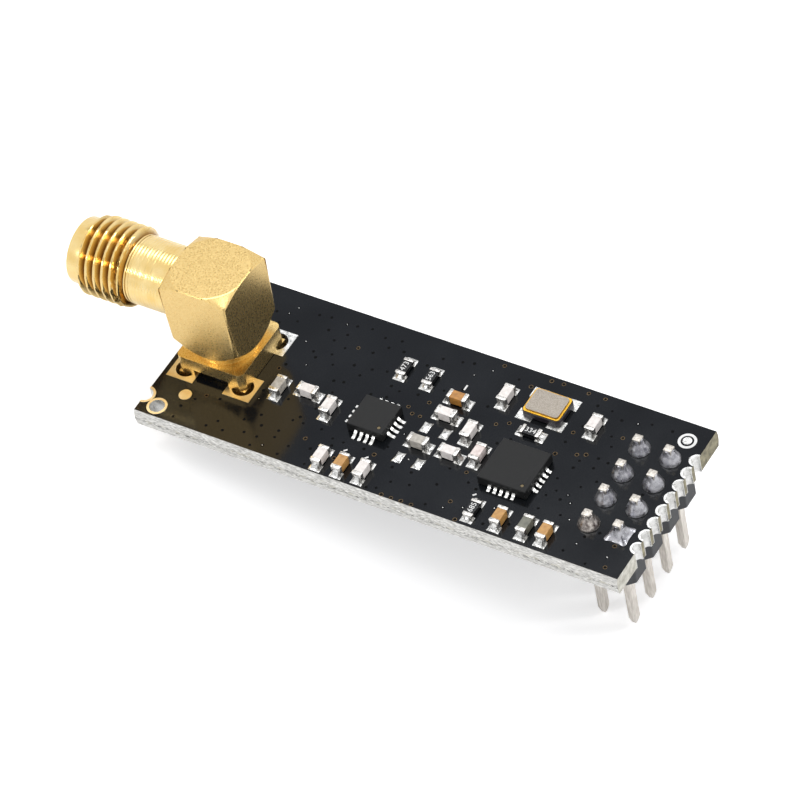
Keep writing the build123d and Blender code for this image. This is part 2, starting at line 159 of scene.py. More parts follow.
lift = add(tree, "ShaderNodeMath", {"operation": "MULTIPLY"}, {0: seen, 1: backdrop_lift}).outputs[0]
glow = add(tree, "ShaderNodeEmission", {}, {"Strength": lift}).outputs["Emission"]
white = add(tree, "ShaderNodeAddShader", {}, {0: shader.outputs["BSDF"], 1: glow}).outputs["Shader"]
blend = add(tree, "ShaderNodeMixShader", {}, {0: fade, 1: white, 2: clear})
tree.links.new(blend.outputs["Shader"], tree.nodes["Material Output"].inputs["Surface"])

rim = [
    (table_radius * math.cos(a), table_radius * math.sin(a))
    for a in (2 * math.pi * i / table_segments for i in range(table_segments))
]
table_points = [(x, y, table_height(x)) for x, y in rim]
table = make_piece("table", table_points, [tuple(range(table_segments))], [laminate], smooth=False)

# Light: a white room with a dim stretch of ceiling that the glossy board mirrors, and the dark of an
# open door, which draws dark lines on curved metal. A large soft lamp hangs above and behind. Small
# bright ones, overhead, front left and back right, draw white lines along the rounded edges.
room_white = srgb("#FFFFFF")
# Each place's name, the way to it, the degrees off that way where it is full and where it ends, its tone
dim_places = [
    ("ceiling", Vector((-0.43, 0.52, 0.737)), 5, 10, srgb("#A3A7B0")),
    ("doorway", Vector((0.43, -0.52, 0.737)), 9, 22, srgb("#1C1C1E")),
]

world = bpy.data.worlds.new("room")
bpy.context.scene.world = world
world.use_nodes = True
tree = world.node_tree
toward = add(tree, "ShaderNodeTexCoord").outputs["Generated"]
wall = add(tree, "ShaderNodeRGB")
wall.outputs[0].default_value = room_white
wall = wall.outputs[0]
for label, middle, inner, outer, tone in dim_places:
    nearness = add(
        tree,
        "ShaderNodeVectorMath",
        {"operation": "DOT_PRODUCT", "label": label},
        {0: toward, 1: middle.normalized()},
    ).outputs["Value"]
    dimming = add(
        tree,
        "ShaderNodeMapRange",
        {"interpolation_type": "SMOOTHSTEP"},
        {
            "Value": nearness,
            "From Min": math.cos(math.radians(outer)),
            "From Max": math.cos(math.radians(inner)),
        },
    ).outputs["Result"]
    wall = add(tree, "ShaderNodeMix", {"data_type": "RGBA"}, {0: dimming, 6: wall, 7: tone}).outputs[2]
tree.links.new(wall, tree.nodes["Background"].inputs["Color"])


def soft_lamp(name, at_mm, size_mm, watts):
    """A square lamp that is aimed at the middle of the board."""
    lamp = bpy.data.lights.new(name, "AREA")
    lamp.shape = "SQUARE"
    lamp.size = size_mm * MM
    lamp.energy = watts
    stand = bpy.data.objects.new(name, lamp)
    stand.location = Vector(at_mm) * MM
    stand.rotation_mode = "QUATERNION"
    stand.rotation_quaternion = (-stand.location).to_track_quat("-Z", "Y")
    bpy.context.collection.objects.link(stand)


soft_lamp("overhead_lamp", (-130, 152, 450), 200, 0.42)
soft_lamp("crown_lamp", (85, -40, 470), 90, 0.12)
soft_lamp("front_lamp", (-215, -370, 260), 70, 0.26)
soft_lamp("back_lamp", (370, 260, 215), 70, 0.3)


# Circuit board: 1.6 mm of glass cloth in epoxy under a glossy black solder mask, so it shows the
# room and the gold jack dimly. Its ends are routed, and their cut cloth is dull olive brown, but the
# front corner of the header end is pale.
patch_range = (0.3, 0.7)
patch_detail = 4
grain_detail = 3


def patchy_finish(name, sockets, tones, patch_mm, roughness, grain_mm, grain_depth_mm, stretch=(1, 1, 1)):
    """A finish whose tone and gloss wander over patches, with a fine grain that catches the light."""
    finish, tree, shader, place = start_finish(name, sockets)
    drawn = add(tree, "ShaderNodeVectorMath", {"operation": "MULTIPLY"}, {0: place, 1: stretch}).outputs[0]
    patches = add(
        tree,
        "ShaderNodeTexNoise",
        {},
        {"Vector": drawn, "Scale": 1 / (patch_mm * MM), "Detail": patch_detail},
    ).outputs["Fac"]
    spread = add(
        tree,
        "ShaderNodeMapRange",
        {},
        {"Value": patches, "From Min": patch_range[0], "From Max": patch_range[1]},
    ).outputs["Result"]
    tone = add(
        tree, "ShaderNodeMix", {"data_type": "RGBA"}, {0: spread, 6: srgb(tones[0]), 7: srgb(tones[1])}
    ).outputs[2]
    gloss = add(
        tree, "ShaderNodeMapRange", {}, {"Value": spread, "To Min": roughness[0], "To Max": roughness[1]}
    ).outputs["Result"]
    grain = add(
        tree,
        "ShaderNodeTexNoise",
        {},
        {"Vector": drawn, "Scale": 1 / (grain_mm * MM), "Detail": grain_detail},
    ).outputs["Fac"]
    relief = add(
        tree, "ShaderNodeBump", {}, {"Height": grain, "Strength": 1, "Distance": grain_depth_mm * MM}
    ).outputs["Normal"]
    tree.links.new(tone, shader.inputs["Base Color"])
    tree.links.new(gloss, shader.inputs["Roughness"])
    tree.links.new(relief, shader.inputs["Normal"])
    return finish


weld_within = 0.001 * MM
flat_within = math.radians(0.5)


def copy_mesh(node):
    """The faces of a frame node, with flat faces whole again."""
    shape = bmesh.new()
    shape.from_mesh(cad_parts[node].data)
    bmesh.ops.remove_doubles(shape, verts=shape.verts, dist=weld_within)
    bmesh.ops.dissolve_limit(shape, angle_limit=flat_within, verts=shape.verts, edges=shape.edges)
    return shape


def stand_for(piece, *nodes):
    """The piece takes the place of these nodes."""
    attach(piece, "root")
    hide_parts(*nodes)


def dress_faces(node, finishes, pick):
    """Stands for a node whose faces don't all have the same finish."""
    shape = copy_mesh(node)
    for face in shape.faces:
        face.material_index = pick(face)
    mesh = bpy.data.meshes.new(node + "_dressed")
    shape.to_mesh(mesh)
    shape.free()
    for finish in finishes:
        mesh.materials.append(finish)
    piece = bpy.data.objects.new(node + "_dressed", mesh)
    bpy.context.collection.objects.link(piece)
    stand_for(piece, node)


solder_mask = patchy_finish(
    "glossy_black_solder_mask", {"IOR": 1.5}, ("#090B0E", "#0D1014"), 5, (0.1, 0.15), 0.45, 0.0008
)
routed_cloth = patchy_finish(
    "routed_glass_epoxy", {"IOR": 1.55}, ("#5A5540", "#A59E84"), 0.5, (0.6, 0.8), 0.08, 0.02
)
pale_cloth = patchy_finish(
    "pale_glass_epoxy", {"IOR": 1.55}, ("#A8A598", "#DFDDD4"), 0.5, (0.6, 0.8), 0.08, 0.02
)
level_normal = 0.9
pale_corner_x = 15 * MM
pale_corner_y = -5 * MM
long_edge_y = 7.2 * MM


def board_face(face):
    """Mask on the flat faces; pale cloth on the long edges and at the front header corner."""
    spot = face.calc_center_median()
    if abs(face.normal.z) > level_normal:
        return 0
    at_corner = spot.x > pale_corner_x and spot.y < pale_corner_y
    return 2 if at_corner or abs(spot.y) > long_edge_y else 1


dress_faces("circuit_board", [solder_mask, routed_cloth, pale_cloth], board_face)

# Snapped long edges: the panel was scored on both faces and broken, so each edge has a pale
# slanted band above and below a torn seam, with dark nicks where bundles of glass pulled out.
snapped_cloth = patchy_finish(
    "snapped_glass_epoxy",
    {"IOR": 1.55},
    ("#A3A29E", "#F3F2EE"),
    0.1,
    (0.5, 0.7),
    0.05,
    0.025,
    stretch=(0.3, 1, 1),
)
score_depth = 0.55 * MM
score_lean = 0.12 * MM
seam_half = 0.1 * MM
nick_depth = 0.14 * MM
ripple_depth = 0.03 * MM
edge_step = 0.07 * MM
edge_levels = 24
edge_skin = 0.012 * MM
board_low, board_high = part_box("circuit_board")
half_width = board_high.y - score_lean
thickness = board_high.z - board_low.z
seam_share = 0.47
tear_band = (0.06 * MM, 0.24 * MM)
tear_size = 0.06 * MM
tear_stretch = (0.18, 1, 1)
tear_detail = 3
tear_range = (0.54, 0.58)
tear_tone = srgb("#1D1B19")

tree = snapped_cloth.node_tree
place = add(tree, "ShaderNodeTexCoord").outputs["Object"]
up = add(tree, "ShaderNodeSeparateXYZ", {}, {0: place}).outputs["Z"]
off_seam = add(
    tree, "ShaderNodeMath", {"operation": "SUBTRACT"}, {0: up, 1: board_low.z + thickness * seam_share}
).outputs[0]
off_seam = add(tree, "ShaderNodeMath", {"operation": "ABSOLUTE"}, {0: off_seam}).outputs[0]
seam_band = add(
    tree,
    "ShaderNodeMapRange",
    {},
    {"Value": off_seam, "From Min": tear_band[0], "From Max": tear_band[1], "To Min": 1, "To Max": 0},
).outputs["Result"]
drawn = add(tree, "ShaderNodeVectorMath", {"operation": "MULTIPLY"}, {0: place, 1: tear_stretch}).outputs[0]
tears = add(
    tree, "ShaderNodeTexNoise", {}, {"Vector": drawn, "Scale": 1 / tear_size, "Detail": tear_detail}
).outputs["Fac"]
tears = add(
    tree, "ShaderNodeMapRange", {}, {"Value": tears, "From Min": tear_range[0], "From Max": tear_range[1]}
).outputs["Result"]
tears = add(tree, "ShaderNodeMath", {"operation": "MULTIPLY"}, {0: tears, 1: seam_band}).outputs[0]
shader = tree.nodes["Principled BSDF"]
pale = shader.inputs["Base Color"].links[0].from_socket
torn = add(tree, "ShaderNodeMix", {"data_type": "RGBA"}, {0: tears, 6: pale, 7: tear_tone}).outputs[2]
tree.links.new(torn, shader.inputs["Base Color"])

seam_middle = 0.5
seam_sway = 0.05
seam_length = 2.4 * MM
nick_size = (0.5 * MM, 0.25 * MM)
ripple_size = (0.9 * MM, 0.06 * MM)
middle_ripple = 0.3
# Where each of the three is read in the noise, so that they don't follow one another
seam_place, nick_place, ripple_place = 4, 9, 5


def edge_point(x, share, side):
    """A point on the snapped edge, at this share of the board's thickness."""
    z = thickness * share
    scored = min(z, thickness - z, score_depth) / score_depth
    sway = noise.noise(Vector((x / seam_length, side * seam_place, 1)))
    seam = thickness * (seam_middle + seam_sway * sway)
    in_seam = max(0, 1 - abs(z - seam) / seam_half)
    nick = noise.noise(Vector((x / nick_size[0], z / nick_size[1], side * nick_place)))
    ripple = noise.noise(Vector((x / ripple_size[0], z / ripple_size[1], side * ripple_place)))
    out = score_lean * scored + edge_skin
    out += ripple_depth * ripple * (middle_ripple + (1 - middle_ripple) * scored)
    out -= nick_depth * in_seam * max(0, nick)
    return Vector((x, side * (half_width + out), board_low.z + z))


columns = int((board_high.x - board_low.x) / edge_step) + 1
points = []
faces = []
for side in (-1, 1):
    start = len(points)
    for i in range(columns):
        x = board_low.x + (board_high.x - board_low.x) * i / (columns - 1)
        points += [edge_point(x, j / edge_levels, side) for j in range(edge_levels + 1)]
    row = edge_levels + 1
    for i in range(columns - 1):
        for j in range(edge_levels):
            corner = start + i * row + j
            quad = (corner, corner + row, corner + row + 1, corner + 1)
            faces.append(quad if side < 0 else quad[::-1])
fibres = make_piece("board_snapped_edges", points, faces, [snapped_cloth])
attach(fibres, "root")

# Tinned copper: the half holes, the header's rings, the chips' leads and the crystal's pads were
# dipped in solder and blown level, which leaves them silver white and nearly mirror smooth. The
# copper round the jack has a flash of gold instead.
tin = patchy_finish(
    "levelled_tin", {"Metallic": 1}, ("#C2C2BF", "#F2F2F0"), 0.4, (0.2, 0.38), 0.12, 0.01
)
gold_flash = patchy_finish(
    "gold_flash_on_copper", {"Metallic": 1}, ("#E8CE98", "#F4E1B6"), 0.8, (0.34, 0.46), 0.1, 0.004
)


def finish_node(node, finish):
    """Gives a frame node a finish, with its solid as it is."""
    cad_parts[node].material_slots[0].material = finish


for node in ("edge_plating", "header_pads", "crystal_joints"):
    finish_node(node, tin)
upright_normal = 0.5
between_marks_x = 0
tinned_from = 1 * MM
pad_middle = sum(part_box("jack_pads"), Vector()) / 2


def tinned_wall(face):
    """The walls of the corner's holes are tinned, and its flat copper is gold."""
    return int(abs(face.normal.z) < upright_normal)


def tinned_mark(face):
    """The mark by the header is tinned, and the one by the jack is gold."""
    return int(face.calc_center_median().x > between_marks_x)


def tinned_pad(face):
    """The jack's back right pad was tinned before the leg went in."""
    spot = face.calc_center_median()
    at_back_right = spot.x > pad_middle.x + tinned_from and spot.y > pad_middle.y + tinned_from
    return int(at_back_right and spot.z > 0)


dress_faces("corner_plating", [gold_flash, tin], tinned_wall)
dress_faces("alignment_marks", [gold_flash, tin], tinned_mark)
dress_faces("jack_pads", [gold_flash, tin], tinned_pad)

# Printing on the board: a white ring round the back mark and short white ticks by the parts, in
# thin glossy ink.
white_ink = patchy_finish(
    "white_legend_ink", {"IOR": 1.5}, ("#D9DADA", "#F2F2F0"), 0.3, (0.35, 0.5), 0.08, 0.003
)
ink_thickness = 0.02 * MM
ring_sides = 64
disc_middle = 0.05


def flat_ring(points, faces, x, y, z, inner, outer, rise, sides=ring_sides):
    """Adds a thin ring, or a disc where the inner radius is nought, to the points and faces."""
    start = len(points)
    profile = [(outer, 0), (outer, rise)]
    profile += [(inner, rise), (inner, 0)] if inner else [(outer * disc_middle, rise)]
    for radius, lift in profile:
        for i in range(sides):
            angle = 2 * math.pi * i / sides
            spot = Vector((x + radius * math.cos(angle), y + radius * math.sin(angle), z + lift))
            points.append(spot)
    for j in range(len(profile) - 1):
        for i in range(sides):
            a = start + j * sides + i
            b = start + j * sides + (i + 1) % sides
            faces.append((a, b, b + sides, a + sides))
    if not inner:
        faces.append(tuple(start + (len(profile) - 1) * sides + i for i in range(sides)))


def flat_bar(points, faces, x, y, z, along, width, turn, rise):
    """Adds a thin bar, turned by this many degrees, to the points and faces."""
    start = len(points)
    lengthwise = Vector((math.cos(math.radians(turn)), math.sin(math.radians(turn)), 0)) * along / 2
    widthwise = Vector((-lengthwise.y, lengthwise.x, 0)).normalized() * width / 2
    for lift in (0, rise):
        for u, v in ((-1, -1), (1, -1), (1, 1), (-1, 1)):
            points.append(Vector((x, y, z + lift)) + lengthwise * u + widthwise * v)
    for k in range(4):
        faces.append((start + k, start + (k + 1) % 4, start + 4 + (k + 1) % 4, start + 4 + k))
    faces.append(tuple(start + 4 + k for k in range(4)))


board_top = board_high.z
_, mark_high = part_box("alignment_marks")
mark_radius = 0.35 * MM
mark_ring = (0.5 * MM, 0.71 * MM)
tick_width = 0.13 * MM
# Each tick's X, Y and length in millimetres, and its turn in degrees
ticks = [(1.47, 4.03, 0.5, 90), (-3.7, -4.75, 0.3, 45), (-1.9, -4.75, 0.3, 45), (7.2, -4.7, 0.3, 45)]
mark_x = mark_high.x - mark_radius
mark_y = mark_high.y - mark_radius
points = []
faces = []
flat_ring(points, faces, mark_x, mark_y, board_top, *mark_ring, ink_thickness)
for x, y, along, turn in ticks:
    flat_bar(points, faces, x * MM, y * MM, board_top, along * MM, tick_width, turn, ink_thickness)
legend = make_piece("board_legend", points, faces, [white_ink], smooth=False)
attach(legend, "root")

# Vias: small plated holes that stitch the board's copper, most of them sunk and dull under the
# mask, a few with a ring of bare gold. They keep clear of everything that is soldered on.
via_plug = patchy_finish(
    "dull_mask_in_vias",
    {"IOR": 1.4, "Specular IOR Level": 0.15},
    ("#030304", "#08090A"),
    0.3,
    (0.6, 0.8),
    0.1,
    0.004,
)
via_gold = patchy_finish(
    "worn_gold_on_vias", {"Metallic": 1}, ("#463A2C", "#7C6A50"), 0.2, (0.4, 0.55), 0.08, 0.006
)
via_pitch = (1.25 * MM, 1 * MM)
via_stray = 0.33 * MM
via_clearance = 0.28 * MM
via_apart = 0.6 * MM
via_radius = (0.1 * MM, 0.135 * MM)
via_rise = 0.004 * MM
via_sides = 20
first_column = 0.75
first_row = 0.55
row_shift = 0.5
header_margin = 1.3 * MM
ring_width = 0.045 * MM
bare_vias_mm = [
    (0.88, -7.36), (1.71, -7.36), (2.52, -7.33), (3.39, -7.34), (7.03, -7.29), (3.08, 7.03), (7.05, 7.08),
    (8.03, 7.15), (10.16, 7.07), (11.56, 7.07), (-1.54, 0.76), (-0.94, 0.28), (-0.27, 0.27), (-0.32, 1.71),
    (5.3, 1.81), (6.16, 2.27), (10.93, 3.32), (12.21, 1.56), (12.83, 1.82),
]
speck_radius = 0.04 * MM
speck_sides = 12
plug_share = 0.62
bare_share = 0.05
speck_share = 0.1
via_seed = 7
random.seed(via_seed)


def island_boxes(node):
    """Low and high corner of each separate solid of a node, in the order of their low corners."""
    shape = copy_mesh(node)
    left = set(shape.verts)
    boxes = []
    while left:
        found = [left.pop()]
        for vertex in found:
            for edge in vertex.link_edges:
                other = edge.other_vert(vertex)
                if other in left:
                    left.discard(other)
                    found.append(other)
        low = Vector([min(v.co[k] for v in found) for k in range(3)])
        high = Vector([max(v.co[k] for v in found) for k in range(3)])
        boxes.append((low, high))
    shape.free()
    return sorted(boxes, key=lambda box: tuple(box[0]))


standing_above = 0.02 * MM
standing_below = 1 * MM
standing = [
    (low, high)
    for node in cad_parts
    for low, high in island_boxes(node)
    if high.z > board_top + standing_above and low.z < board_top + standing_below
]


def is_free(x, y, gap):
    """True where nothing stands on the board within this gap."""
    return all(
        x < low.x - gap or x > high.x + gap or y < low.y - gap or y > high.y + gap for low, high in standing
    )


spots = [(x * MM, y * MM, True) for x, y in bare_vias_mm]
for row in range(int(2 * half_width / via_pitch[1])):
    for column in range(int((board_high.x - board_low.x) / via_pitch[0])):
        steps = column + first_column + row_shift * (row % 2)
        x = board_low.x + steps * via_pitch[0] + random.uniform(-1, 1) * via_stray
        y = -half_width + (row + first_row) * via_pitch[1] + random.uniform(-1, 1) * via_stray
        apart = all((x - a) ** 2 + (y - b) ** 2 > via_apart**2 for a, b, _ in spots)
        in_board = x < board_high.x - header_margin and abs(y) < half_width - via_clearance
        if in_board and apart and random.random() < plug_share and is_free(x, y, via_clearance):
            spots.append((x, y, random.random() < bare_share))
plugs = ([], [])
rings = ([], [])
specks = ([], [])
for x, y, bare in spots:
    radius = random.uniform(*via_radius)
    flat_ring(*plugs, x, y, board_top, 0, radius, via_rise, via_sides)
    if bare:
        flat_ring(*rings, x, y, board_top, radius, radius + ring_width, via_rise * 2, via_sides)
    elif random.random() < speck_share:
        flat_ring(*specks, x, y, board_top, 0, speck_radius, via_rise * 3, speck_sides)
for name, shape_lists, finish in (
    ("board_vias", plugs, via_plug),
    ("board_via_rings", rings, via_gold),
    ("board_solder_specks", specks, tin),
):
    vias = make_piece(name, *shape_lists, [finish], smooth=False)
    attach(vias, "root")

# Pin header: a black glass-filled moulding in eight cells, and square brass posts with drawn tin
# on them, pressed through it and cut off square above the board.
round_profile = 0.5
flat_weight = 90


def rounded(node, width_mm, finish, segments=2, sharp_deg=28, free_above=None, top_finish=None):
    """Stands for a node with its sharp edges rounded.

    Edges above free_above get the full width, and the others as much as short edges leave room for.
    """
    shape = copy_mesh(node)
    sharp = math.radians(sharp_deg)
    for free in (True, False):
        edges = [
            e
            for e in shape.edges
            if len(e.link_faces) == 2
            and e.calc_face_angle() > sharp
            and free == (free_above is not None and min(v.co.z for v in e.verts) > free_above)
        ]
        bmesh.ops.bevel(
            shape,
            geom=edges,
            offset=width_mm * MM,
            offset_type="OFFSET",
            segments=segments,
            profile=round_profile,
            affect="EDGES",
            clamp_overlap=not free,
        )
    for face in shape.faces:
        face.smooth = True
        face.material_index = int(top_finish is not None and face.normal.z > level_normal)
    mesh = bpy.data.meshes.new(node + "_rounded")
    shape.to_mesh(mesh)
    shape.free()
    mesh.materials.append(finish)
    if top_finish:
        mesh.materials.append(top_finish)
    piece = bpy.data.objects.new(node + "_rounded", mesh)
    bpy.context.collection.objects.link(piece)
    weighted = piece.modifiers.new("flat_faces_stay_flat", "WEIGHTED_NORMAL")
    weighted.mode = "FACE_AREA"
    weighted.weight = flat_weight
    stand_for(piece, node)


header_plastic = patchy_finish(
    "glass_filled_header_plastic", {"IOR": 1.55}, ("#1B1D20", "#2E3136"), 0.5, (0.42, 0.55), 0.06, 0.006
)
drawn_tin = patchy_finish(
    "drawn_tin_on_brass",
    {"Metallic": 1},
    ("#CBC4BA", "#F6F1EA"),
    0.12,
    (0.3, 0.42),
    0.05,
    0.004,
    stretch=(1, 1, 0.12),
)
sheared_end = patchy_finish(
    "sheared_pin_end", {"Metallic": 1}, ("#9E978E", "#ECE8E1"), 0.16, (0.35, 0.5), 0.06, 0.006
)
header_pins = range(1, 9)
rounded("header_insulator", 0.07, header_plastic)
for number in header_pins:
    rounded(f"header_pin_{number}", 0.05, drawn_tin, top_finish=sheared_end)

# Solder cones on the header: hand soldered, so each is a steep cone of dull grey solder with its own
# lean and waves, and the square pin stands out of its top. The second pin's copper is square, and
# draws its cone out to four corners. The first pin's cone still has brown flux on it.
hand_solder = patchy_finish(
    "hand_solder", {"Metallic": 1}, ("#85858B", "#CDCDD2"), 0.45, (0.2, 0.36), 0.25, 0.03
)
flux_solder = patchy_finish(
    "solder_under_burnt_flux", {"Metallic": 0.8}, ("#2C150A", "#D9D2CC"), 0.3, (0.12, 0.3), 0.25, 0.03
)
cone_height = 1.14 * MM
cone_foot = 0.84 * MM
cone_top = 0.36 * MM
corner_reach = 1.2 * MM
corner_sharpness = 5
cone_levels = 16
cone_sides = 48
cone_swell = 0.06
cone_sway = 0.16
# The power that a flank falls by, and how far the waves change it
round_flank = (1.2, 0.5)
square_flank = (2, 0.6)
# How far the noise is read round a cone, up it, and from one pin to the next
wave_round, wave_up, wave_apart = 1.3, 1.5, 7
flux_pin = 1
square_pin = 2
land_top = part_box("header_pads")[1].z
points = []
faces = []
cone_finish = []
for number in header_pins:
    low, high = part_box(f"header_pin_{number}")
    centre = Vector(((low.x + high.x) / 2, (low.y + high.y) / 2, land_top))
    start = len(points)
    for j in range(cone_levels + 1):
        rise = j / cone_levels
        for i in range(cone_sides):
            angle = 2 * math.pi * i / cone_sides
            away = Vector((math.cos(angle), math.sin(angle), 0))
            foot = cone_foot
            if number == square_pin:
                foot += (corner_reach - cone_foot) * abs(math.sin(2 * angle)) ** corner_sharpness
            read_at = (away.x * wave_round, away.y * wave_round, number * wave_apart + rise * wave_up)
            wave = noise.noise(Vector(read_at))
            if number == square_pin:
                spread = (1 - rise) ** (square_flank[0] + square_flank[1] * wave)
            else:
                fall = 1 - rise - cone_swell * math.sin(2 * math.pi * (1 - rise))
                spread = fall ** (round_flank[0] + round_flank[1] * wave)
            radius = cone_top + (foot - cone_top) * spread
            radius *= 1 + cone_sway * wave * math.sin(math.pi * rise)
            points.append(centre + away * radius + Vector((0, 0, rise * cone_height)))
    for j in range(cone_levels):
        for i in range(cone_sides):
            a = start + j * cone_sides + i
            b = start + j * cone_sides + (i + 1) % cone_sides
            faces.append((a, b, b + cone_sides, a + cone_sides))
    faces.append(tuple(start + cone_levels * cone_sides + i for i in range(cone_sides)))
    cone_finish += [int(number == flux_pin)] * (cone_levels * cone_sides + 1)
cones = make_piece("header_solder_cones", points, faces, [hand_solder, flux_solder], cone_finish)
stand_for(cones, "header_solder")

# Jack body: brass turned from square bar, tumbled and gold plated, which leaves a fine sandy
# satin. Its edges are broken just enough to catch the light.
satin_gold = patchy_finish(
    "satin_gold_plate", {"Metallic": 1}, ("#E3C07A", "#F0D290"), 0.14, (0.25, 0.33), 0.09, 0.0032
)
block_foot = board_top + 3.2 * MM
rounded("jack_body", 0.1, satin_gold, segments=3, sharp_deg=20, free_above=block_foot)

# Jack barrel: turned brass with a 36-to-the-inch thread, gold plated. The cut thread is brighter
# than the body, with painted shade darkening the roots of its valleys, and the neck keeps the fine
# rings of the turning tool.
bright_gold = patchy_finish(
    "bright_gold_plate", {"Metallic": 1}, ("#EFCC80", "#F8DFA2"), 1.2, (0.14, 0.24), 0.09, 0.004
)
thread_gold_with_painted_shade = patchy_finish(
    "gold_plate_on_cut_thread_with_painted_shade", {"Metallic": 1}, ("#EFCC80", "#F8DFA2"), 1.2, (0.1, 0.17), 0.09, 0.003
)
barrel_low, barrel_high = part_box("jack_barrel")
axis_z = (barrel_low.z + barrel_high.z) / 2
body_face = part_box("jack_body")[0].x
thread_pitch = 25.4 / 36 * MM
thread_depth = 0.46 * MM
mouth_length = 1.05 * MM
mouth_radius = 2.6 * MM
mouth_bore = 2.3 * MM
mouth_depth = 1.9 * MM
inner_bore = 2.07 * MM
thread_radius = (barrel_high.y - barrel_low.y) / 2
thread_length = 4.05 * MM
neck_radius = 2.65 * MM
tool_pitch = 0.27 * MM
tool_ring_depth = 0.011 * MM
barrel_sides = 128
first_crest = 0.02 * MM
run_in = 0.3 * MM
run_out = 0.75 * MM
run_out_rise = 0.45
run_out_end = 0.2 * MM
root_half_flat = 0.04
flank_share = 0.38
rough_depth = 0.07 * MM
rough_size = 0.09 * MM
rough_round = 26
crest_skin = 0.04 * MM
# Painted shade: towards the roots of the thread's valleys the gold is mixed with a dark brown, by distance
# from the axis alone, where shade falls between the flanks.
painted_shade_share = 0.95
painted_shade_tone = srgb("#8A5F22")

tree = thread_gold_with_painted_shade.node_tree
place = add(tree, "ShaderNodeTexCoord").outputs["Object"]
arm = add(tree, "ShaderNodeVectorMath", {"operation": "SUBTRACT"}, {0: place, 1: (0, 0, axis_z)}).outputs[0]
arm = add(tree, "ShaderNodeVectorMath", {"operation": "MULTIPLY"}, {0: arm, 1: (0, 1, 1)}).outputs[0]
reach = add(tree, "ShaderNodeVectorMath", {"operation": "LENGTH"}, {0: arm}).outputs["Value"]
painted_shade_mask = add(
    tree,
    "ShaderNodeMapRange",
    {},
    {
        "Value": reach,
        "From Min": thread_radius - thread_depth,
        "From Max": thread_radius - crest_skin,
        "To Min": painted_shade_share,
        "To Max": 0,
    },
).outputs["Result"]
shader = tree.nodes["Principled BSDF"]
crest_tone = shader.inputs["Base Color"].links[0].from_socket
tone = add(
    tree, "ShaderNodeMix", {"data_type": "RGBA"}, {0: painted_shade_mask, 6: crest_tone, 7: painted_shade_tone}
).outputs[2]
tree.links.new(tone, shader.inputs["Base Color"])


def thread_point_radius(along, angle):
    """Radius of the threaded stretch at this distance from its start."""
    phase = ((along - first_crest) / thread_pitch - angle / (2 * math.pi)) % 1
    slope = min(1, max(0, (abs(phase - 0.5) - root_half_flat) / flank_share))
    flank = 1 - slope
    root = thread_depth * (1 - max(0, 1 - (thread_length - along) / run_out) * run_out_rise)
    radius = thread_radius - root * flank
    edge = min(1, along / run_in, (thread_length - along) / run_out_end)
    if along > thread_length - run_out:
        read_at = (along / rough_size, math.cos(angle) * rough_round, math.sin(angle) * rough_round)
        radius += rough_depth * noise.noise(Vector(read_at))
    return mouth_radius + (radius - mouth_radius) * math.sqrt(max(0, edge))


mouth_x = barrel_low.x
bore_chamfer_length = 0.15 * MM
bore_chamfer_width = 0.13 * MM
rim_inset = 0.09 * MM
rim_round = 0.03 * MM
rim_length = 0.1 * MM
thread_gap = 0.02 * MM
# X and radius of each ring of points, from the bore out through the mouth and back along the outside
stations = [
    (barrel_high.x, inner_bore),
    (mouth_x + mouth_depth, inner_bore),
    (mouth_x + mouth_depth, mouth_bore),
    (mouth_x + bore_chamfer_length, mouth_bore),
    (mouth_x, mouth_bore + bore_chamfer_width),
    (mouth_x, mouth_radius - rim_inset),
    (mouth_x + rim_round, mouth_radius - rim_round),
    (mouth_x + rim_length, mouth_radius),
    (mouth_x + mouth_length - thread_gap, mouth_radius),
]
thread_start = mouth_x + mouth_length
thread_steps = 110
stations += [(thread_start + thread_length * i / thread_steps, None) for i in range(thread_steps + 1)]
neck_start = thread_start + thread_length
neck_steps = 110
scratch_size = 0.09 * MM
drift_size = 0.6 * MM
drift_share = 0.7
scratch_place, drift_place = 3, 8
ring_offset = 1.2
for i in range(1, neck_steps + 1):
    x = neck_start + (body_face - neck_start) * i / neck_steps
    ring = math.cos(2 * math.pi * (x - neck_start) / tool_pitch)
    ring += noise.noise(Vector((x / scratch_size, 0, scratch_place)))
    ring += drift_share * noise.noise(Vector((x / drift_size, 0, drift_place)))
    stations.append((x, neck_radius + tool_ring_depth * (ring - ring_offset)))
spigot_radius = 2.4 * MM
spigot_step = 0.01 * MM
stations.append((body_face + spigot_step, spigot_radius))
stations.append((barrel_high.x, spigot_radius))
points = []
faces = []
for x, radius in stations:
    for i in range(barrel_sides):
        angle = 2 * math.pi * i / barrel_sides
        r = thread_point_radius(x - thread_start, angle) if radius is None else radius
        points.append(Vector((x, r * math.cos(angle), axis_z + r * math.sin(angle))))
for j in range(len(stations)):
    for i in range(barrel_sides):
        a = j * barrel_sides + i
        b = j * barrel_sides + (i + 1) % barrel_sides
        c = (j + 1) % len(stations) * barrel_sides
        faces.append((a, c + i, c + (i + 1) % barrel_sides, b))
on_thread = [
    int(all(radius is None for _, radius in (stations[j], stations[(j + 1) % len(stations)])))
    for j in range(len(stations))
    for _ in range(barrel_sides)
]
barrel = make_piece("jack_barrel_threaded", points, faces, [bright_gold, thread_gold_with_painted_shade], on_thread)
barrel_sharp = math.radians(40)
barrel.data.set_sharp_from_angle(angle=barrel_sharp)
stand_for(barrel, "jack_barrel")

# Inside of the jack: a white fluoropolymer sleeve and bush, a bright gold socket and its signal
# pin, and hand solder under the board.
fluoropolymer = patchy_finish(
    "white_fluoropolymer",
    {"IOR": 1.38, "Subsurface Weight": 0.1},
    ("#E9E7E2", "#F6F5F2"),
    2,
    (0.4, 0.5),
    0.2,
    0.004,
)
for node in ("jack_dielectric", "jack_bush"):
    finish_node(node, fluoropolymer)
for node in ("jack_contact", "jack_tail"):
    finish_node(node, bright_gold)
finish_node("jack_solder", hand_solder)

